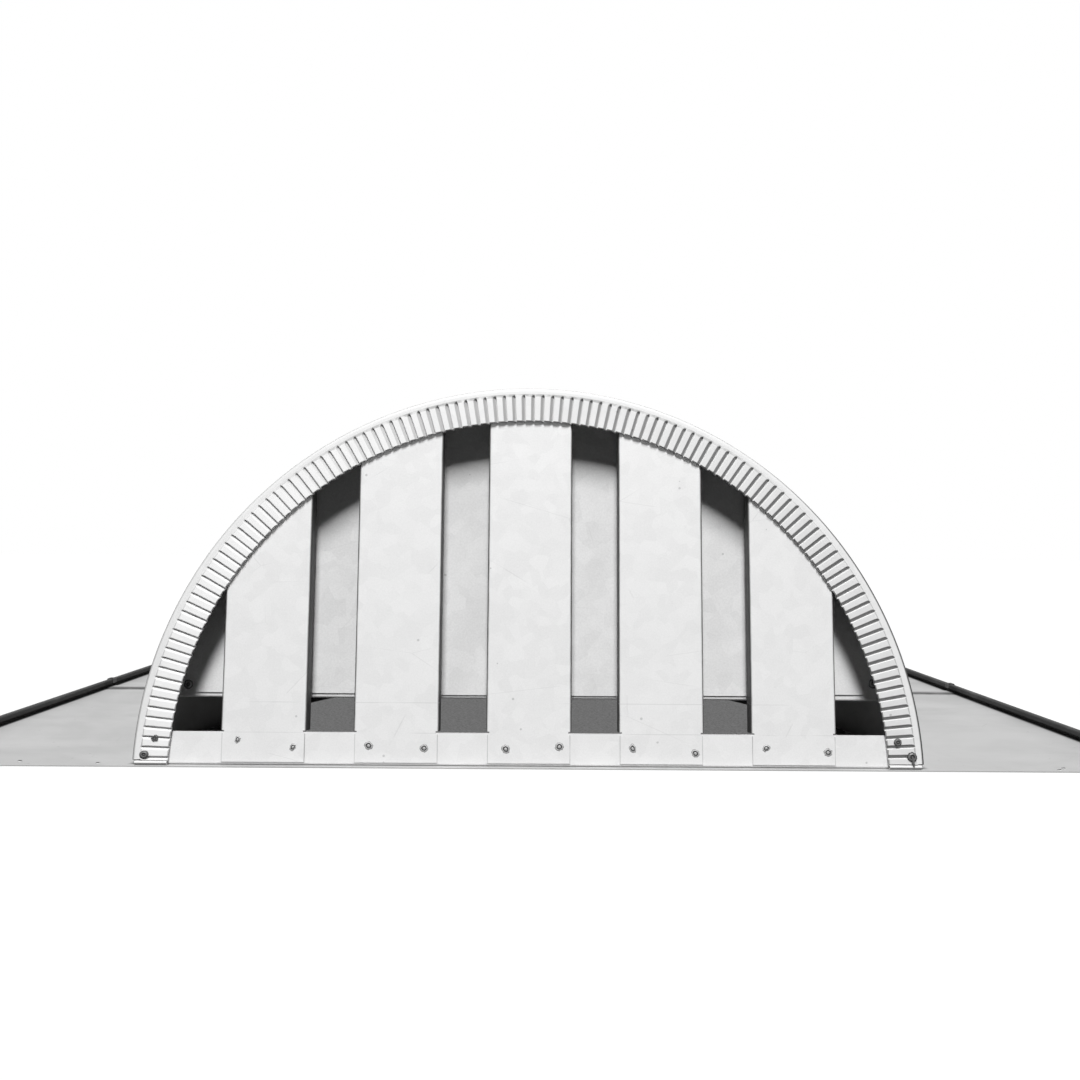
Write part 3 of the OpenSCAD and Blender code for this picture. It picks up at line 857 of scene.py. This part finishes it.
class SheetFinish:
    """Builds one galvanised finish: grain, streaks and hairlines, and then lines, painted shade and
    painted highlight laid over them.
    """

    def __init__(self, name, colour, settings, grain_size=900.0, grain=1.0, streak=0.0, across=40.0,
                 swirl=0.4, scratch=0.2, rough=0.0, metallic=None, specular=0.25, bump=0.15):
        self.made = bpy.data.materials.new(name)
        self.made.use_nodes = True
        self.w = w = Wiring(self.made.node_tree)
        self.shader = self.made.node_tree.nodes["Principled BSDF"]
        texture = add_group(w, "grain", Size=grain_size, Crystals=0.25)
        streaks = add_group(w, "streaks", Across=across, Along=3.0, Swirl=swirl)
        lines = add_group(w, "hairlines", Amount=scratch)
        specks = add_group(w, "specks")
        depth = settings.grain * grain
        speckle = w.spread(texture.outputs["Speckle"], 0.25, 0.75, 1.0 - 0.12 * depth,
                           1.0 + 0.05 * depth, smooth=False)
        wiped = w.spread(streaks.outputs["Streaks"], 0.0, 1.0, 1.0 - streak, 1.0, smooth=False)
        level = w.math("MULTIPLY", speckle, wiped)
        clean = w.node("ShaderNodeCombineColor")
        for channel, part in zip(("Red", "Green", "Blue"), colour):
            w.join(w.math("MULTIPLY", level, part), clean.inputs[channel])
        self.base = w.tint(lines.outputs["Mask"], clean.outputs["Color"], rgba(colour, 0.7))
        specked = w.math("MULTIPLY", specks.outputs["Mask"], 0.5)
        self.base = w.tint(specked, self.base, rgba(colour, 0.45))
        start = settings.roughness + rough
        self.rough = w.spread(
            texture.outputs["Speckle"], 0.2, 0.8, start - 0.06, start + 0.08, smooth=False)
        relief = w.node("ShaderNodeBump")
        w.feed(relief, Strength=bump, Distance=0.0002, Height=texture.outputs["Height"])
        w.feed(self.shader, Normal=relief.outputs["Normal"],
               Metallic=settings.metallic if metallic is None else metallic,
               Specular_IOR_Level=specular)

    def lay(self, mask, colour, amount=1.0, rough=0.0):
        """Lays a colour over the sheet where the mask is 1."""
        share = self.w.math("MULTIPLY", mask, amount)
        self.base = self.w.tint(share, self.base, colour)
        if rough:
            self.rough = self.w.math("MULTIPLY_ADD", share, rough, self.rough)

    def done(self):
        self.w.feed(self.shader, Base_Color=self.base, Roughness=self.rough)
        return self.made


def face_finish(settings, name="Galvanised Face", bends=True):
    finish = SheetFinish(name, settings.face_colour, settings, scratch=0.3, streak=0.02)
    grime = rgba(settings.grime_colour)
    # Painted shade and dark reflection along the slats' bent edges
    if bends:
        mask = add_group(finish.w, "bends", Pitch=SLAT_PITCH, Half_Width=SLAT_WIDTH / 2, Line=0.0015)
        finish.lay(mask.outputs["Mask"], grime, 0.95, 0.1)
    press = add_group(finish.w, "press", Low=0.0258, High=0.0490, Width=0.0003)
    finish.lay(press.outputs["Mask"], rgba(settings.face_colour, 0.6), 0.35)
    return finish.done()


def flange_finish(settings):
    finish = SheetFinish("Galvanised Flange", settings.flange_colour, settings, streak=0.16, across=26.0,
                         swirl=0.7, scratch=0.35, grain=0.7, specular=0.1)
    grime = rgba(settings.grime_colour)
    # Painted shadow on the flange along the foot of the hood
    foot_shadow = add_group(finish.w, "foot_shadow", Radius=ARCH_RADIUS, Drop=ARCH_DROP, Front=FACE_Y,
                      Slope=1 / (math.sin(FACE_LEAN) + math.cos(FACE_LEAN) / math.tan(HOOD_FALL)),
                      Reach=0.005)
    finish.lay(foot_shadow.outputs["Mask"], grime, 0.7, 0.15)
    # Painted shade along the lapped seam's free edge
    seam = add_group(finish.w, "seam", Edge=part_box("base_rear_sheet")[0].y - 0.0006, Width=0.014)
    finish.lay(seam.outputs["Mask"], grime, 0.75, 0.1)
    # Painted shade and dark reflection over the hems, with a painted highlight along their crests
    hems = add_group(finish.w, "hems", Inner_Edge=HALF_WIDTH - HEM_WIDTH,
                     Crest=HALF_WIDTH - HEM_WIDTH / 2)
    finish.lay(hems.outputs["Painted Shade"], grime, 0.96, 0.4)
    finish.lay(hems.outputs["Lit Crest"], rgba(settings.flange_colour, 0.35), 0.35)
    return finish.done()


def hood_finish(settings):
    finish = SheetFinish("Galvanised Hood", settings.flange_colour, settings, streak=0.12,
                         across=30.0, swirl=0.5, scratch=0.4, grain=0.7, rough=0.14)
    return finish.done()


def inner_finish(settings):
    finish = SheetFinish("Galvanised Inner", settings.inner_colour, settings, streak=0.10,
                         across=18.0, swirl=0.9, scratch=0.25, grain=1.6, grain_size=700.0,
                         metallic=0.0, specular=0.05, rough=0.12)
    return finish.done()


def rim_finish(settings):
    finish = SheetFinish("Galvanised Rim", settings.face_colour, settings, streak=0.03, scratch=0.15,
                         grain=0.8, specular=0.08, rough=0.08)
    grime = rgba(settings.grime_colour)
    # Painted shade on the crimps' flanks, deepest where they face down
    folds = add_group(finish.w, "folds")
    finish.lay(folds.outputs["Mask"], grime, 0.75)
    # Painted shade at the flutes' tips towards the top and along the arch's outer edge
    edge = add_group(finish.w, "arch_edge_shade", Radius=ARCH_RADIUS, Drop=ARCH_DROP, Front=FACE_Y,
                     Foot=SHEET, Skew=SKEW, Reach=0.0011)
    finish.lay(edge.outputs["Tip Shade"], grime, 0.55, 0.05)
    finish.lay(edge.outputs["Mask"], grime, 0.96, 0.1)
    return finish.done()


def rivet_finish(settings):
    finish = SheetFinish("Rivet Metal", (0.14, 0.14, 0.14), settings, grain=1.5, grain_size=1800.0,
                         scratch=0.4, metallic=0.5, rough=-0.05, bump=0.4)
    return finish.done()


def clinch_finish(settings):
    finish = SheetFinish("Clinched Zinc", (0.46, 0.46, 0.46), settings, grain=1.5, grain_size=1800.0,
                         scratch=0.2, bump=0.4)
    return finish.done()


# Near-black finish of painted shade for rivet seats and recesses, nail holes and the clinch marks' foot
# and trough
def grime_finish(settings):
    finish = SheetFinish("Dark Shade", tuple(settings.grime_colour), settings, grain=1.5, grain_size=1500.0,
                         scratch=0.0, metallic=0.0, rough=0.25, bump=0.5)
    return finish.done()


def dress(node, material):
    """Gives a carried-over CAD node its finish."""
    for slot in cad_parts[node].material_slots:
        slot.material = material


# ---------------------------------------------------------------- operators

class VENT_OT_finishes(bpy.types.Operator):
    """Builds the finishes and gives each carried-over sheet its own"""

    bl_idname = "vent.finishes"
    bl_label = "Sheet Finishes"

    def execute(self, context):
        settings = context.scene.vent_sheet
        GROUPS.update(build_groups())
        MATERIALS.update(
            face=face_finish(settings),
            sill=face_finish(settings, "Galvanised Sill", bends=False),
            flange=flange_finish(settings),
            hood=hood_finish(settings),
            inner=inner_finish(settings),
            rim=rim_finish(settings),
            rivet=rivet_finish(settings),
            clinch=clinch_finish(settings),
            grime=grime_finish(settings),
        )
        for node in FRONT_SLATS:
            dress(node, MATERIALS["face"])
        for node in BASE_SHEETS + SEAM_FOLDS:
            dress(node, MATERIALS["flange"])
        for node in REAR_SLATS + ["rear_rail"]:
            dress(node, MATERIALS["inner"])
        for node in RIM_FEET + ("fluted_rim",):
            dress(node, MATERIALS["rim"])
        for node in ("rim_rivets", "rail_rivets"):
            dress(node, MATERIALS["rivet"])
        dress("sill", MATERIALS["sill"])
        dress("hood", MATERIALS["hood"])
        return {"FINISHED"}


class VENT_OT_rim(bpy.types.Operator):
    """Crimps the rim round the arch, flute by flute"""

    bl_idname = "vent.rim"
    bl_label = "Crimped Rim"

    def execute(self, context):
        build_rim(context.scene.vent_rim, [MATERIALS["rim"]])
        return {"FINISHED"}


class VENT_OT_rivets(bpy.types.Operator):
    """Sets the blind rivets at the feet of the rim and in the rear rail"""

    bl_idname = "vent.rivets"
    bl_label = "Blind Rivets"

    def execute(self, context):
        materials = [MATERIALS["rivet"], MATERIALS["grime"]]
        build_rim_rivets(context.scene.vent_fastenings, materials)
        build_rail_rivets(context.scene.vent_fastenings, materials)
        return {"FINISHED"}


class VENT_OT_clinches(bpy.types.Operator):
    """Punches the clinch marks of the slats and the nail marks of the flange"""

    bl_idname = "vent.clinches"
    bl_label = "Clinch and Nail Marks"

    def execute(self, context):
        materials = [MATERIALS["clinch"], MATERIALS["grime"]]
        build_clinches(context.scene.vent_fastenings, materials)
        build_nail_marks(materials)
        return {"FINISHED"}


# The floor's half width and how far it lies under the vent, its own grey, its glow beside the vent and
# far from it, and the darkest and lightest grain of the patch that shows through the vent: a dim glow
# that is painted shade of the floor under the vent
FLOOR_HALF, FLOOR_DROP = 8.0, 0.0004
FLOOR_GREY = 0.07
GLOW_NEAR, GLOW_FAR = 0.95, 1.0
FLOOR_SHADE_LOW, FLOOR_SHADE_HIGH = 0.10, 0.22
# Strength of the surrounding light on the vent
AMBIENT = 0.014
# The lamp stands high and far in front: its place, what it is aimed at, its width and height, its power
LAMP_PLACE, LAMP_AIM = Vector((-0.2, -7.1, 11.7)), Vector((0, -0.3, 0.1))
LAMP_WIDTH, LAMP_HEIGHT, LAMP_WATTS = 2.6, 4.8, 2620


class VENT_OT_stage(bpy.types.Operator):
    """Sets the vent on a pale floor under a soft lamp, with the camera in front"""

    bl_idname = "vent.stage"
    bl_label = "Stage"

    def execute(self, context):
        settings = context.scene.vent_stage
        self.build_floor(context)
        self.build_world(context)
        self.build_lamp(context, settings.lamp_level)
        self.build_camera(context, settings)
        context.scene.view_settings.view_transform = "Standard"
        return {"FINISHED"}

    def build_floor(self, context):
        mesh = bpy.data.meshes.new("floor")
        corners = ((-1, -1), (1, -1), (1, 1), (-1, 1))
        mesh.from_pydata(
            [(x * FLOOR_HALF, y * FLOOR_HALF, -FLOOR_DROP) for x, y in corners], [], [(0, 1, 2, 3)])
        floor = bpy.data.objects.new("floor", mesh)
        context.collection.objects.link(floor)
        mesh.materials.append(self.floor_material())

    def floor_material(self):
        """White seen directly and dark grey to other light; under the vent a dim glow with a grain,
        which is painted shade of the floor seen through the vent.
        """
        made = bpy.data.materials.new("Pale Floor")
        made.use_nodes = True
        w = Wiring(made.node_tree)
        made.node_tree.nodes.clear()
        plain = w.feed(w.node("ShaderNodeBsdfDiffuse"), Color=(FLOOR_GREY,) * 3 + (1.0,))
        glow = w.node("ShaderNodeEmission")
        where_from = w.node("ShaderNodeTexCoord").outputs["Object"]
        where = w.axes(where_from)
        far = w.node("ShaderNodeVectorMath", operation="LENGTH")
        w.join(where_from, far.inputs[0])
        open_glow = w.spread(far.outputs["Value"], 0.7, 1.3, GLOW_NEAR, GLOW_FAR)
        half_x, half_y = CAD_BOX[1].x * 0.96, CAD_BOX[1].y * 0.97
        across = w.math("LESS_THAN", w.math("ABSOLUTE", where.outputs["X"]), half_x)
        along = w.math("LESS_THAN", w.math("ABSOLUTE", where.outputs["Y"]), half_y)
        under = w.math("MULTIPLY", across, along)
        seen = w.math("MULTIPLY", seen_directly(w), w.math("SUBTRACT", 1.0, under))
        # Under the vent the floor glows dimly with a grain: painted shade, not lit by the lamp
        grain = w.noise(where_from, 420.0, detail=5.0, roughness=0.75)
        floor_shade = w.spread(grain, 0.3, 0.7, FLOOR_SHADE_LOW, FLOOR_SHADE_HIGH)
        inside = w.math("MULTIPLY", w.math("MULTIPLY", under, seen_directly(w)), floor_shade)
        w.feed(glow, Strength=w.math("MULTIPLY_ADD", seen, open_glow, inside))
        both = w.node("ShaderNodeAddShader")
        w.join(plain.outputs["BSDF"], both.inputs[0])
        w.join(glow.outputs["Emission"], both.inputs[1])
        leave = w.node("ShaderNodeOutputMaterial")
        w.join(both.outputs["Shader"], leave.inputs["Surface"])
        return made

    def build_world(self, context):
        world = bpy.data.worlds.new("Studio")
        world.use_nodes = True
        w = Wiring(world.node_tree)
        ambient = world.node_tree.nodes["Background"]
        ambient.inputs["Color"].default_value = (1.0, 1.0, 1.0, 1.0)
        w.join(w.spread(seen_directly(w), 0.0, 1.0, AMBIENT, 1.0, smooth=False),
               ambient.inputs["Strength"])
        context.scene.world = world

    def build_lamp(self, context, level):
        data = bpy.data.lights.new("overhead lamp", "AREA")
        data.shape = "RECTANGLE"
        data.size, data.size_y = LAMP_WIDTH, LAMP_HEIGHT
        data.energy = LAMP_WATTS * level
        lamp = bpy.data.objects.new("overhead lamp", data)
        lamp.location = LAMP_PLACE
        lamp.rotation_euler = (LAMP_AIM - LAMP_PLACE).to_track_quat("-Z", "Y").to_euler()
        context.collection.objects.link(lamp)

    def build_camera(self, context, settings):
        data = bpy.data.cameras.new("camera")
        data.lens = settings.camera_lens
        data.sensor_width = 36.0
        camera = bpy.data.objects.new("camera", data)
        turn = Matrix.Rotation(settings.camera_yaw, 4, "Z")
        turn = turn @ Matrix.Rotation(math.pi / 2 + settings.camera_pitch, 4, "X")
        turn = turn @ Matrix.Rotation(settings.camera_roll, 4, "Z")
        back = FACE_Y - settings.camera_distance
        place = Vector((settings.camera_aside, back, settings.camera_height))
        camera.matrix_world = Matrix.Translation(place) @ turn
        context.collection.objects.link(camera)
        context.scene.camera = camera


class VENT_PT_panel(bpy.types.Panel):
    """Lists the vent's steps in the sidebar"""

    bl_label = "Dormer Vent"
    bl_idname = "VENT_PT_panel"
    bl_space_type = "VIEW_3D"
    bl_region_type = "UI"
    bl_category = "Dormer Vent"

    def draw(self, context):
        column = self.layout.column()
        for operator in OPERATORS:
            column.operator(operator.bl_idname)


OPERATORS = (VENT_OT_finishes, VENT_OT_rim, VENT_OT_rivets, VENT_OT_clinches, VENT_OT_stage)
SETTINGS = {
    "vent_rim": RimSettings,
    "vent_fastenings": FasteningSettings,
    "vent_sheet": SheetSettings,
    "vent_stage": StageSettings,
}
CLASSES = tuple(SETTINGS.values()) + OPERATORS + (VENT_PT_panel,)


def register():
    for cls in CLASSES:
        bpy.utils.register_class(cls)
    for name, kind in SETTINGS.items():
        setattr(bpy.types.Scene, name, PointerProperty(type=kind))


def unregister():
    for name in SETTINGS:
        delattr(bpy.types.Scene, name)
    for cls in reversed(CLASSES):
        bpy.utils.unregister_class(cls)


def main():
    register()
    bpy.ops.vent.finishes()
    bpy.ops.vent.rim()
    bpy.ops.vent.rivets()
    bpy.ops.vent.clinches()
    bpy.ops.vent.stage()


if __name__ == "__main__":
    main()
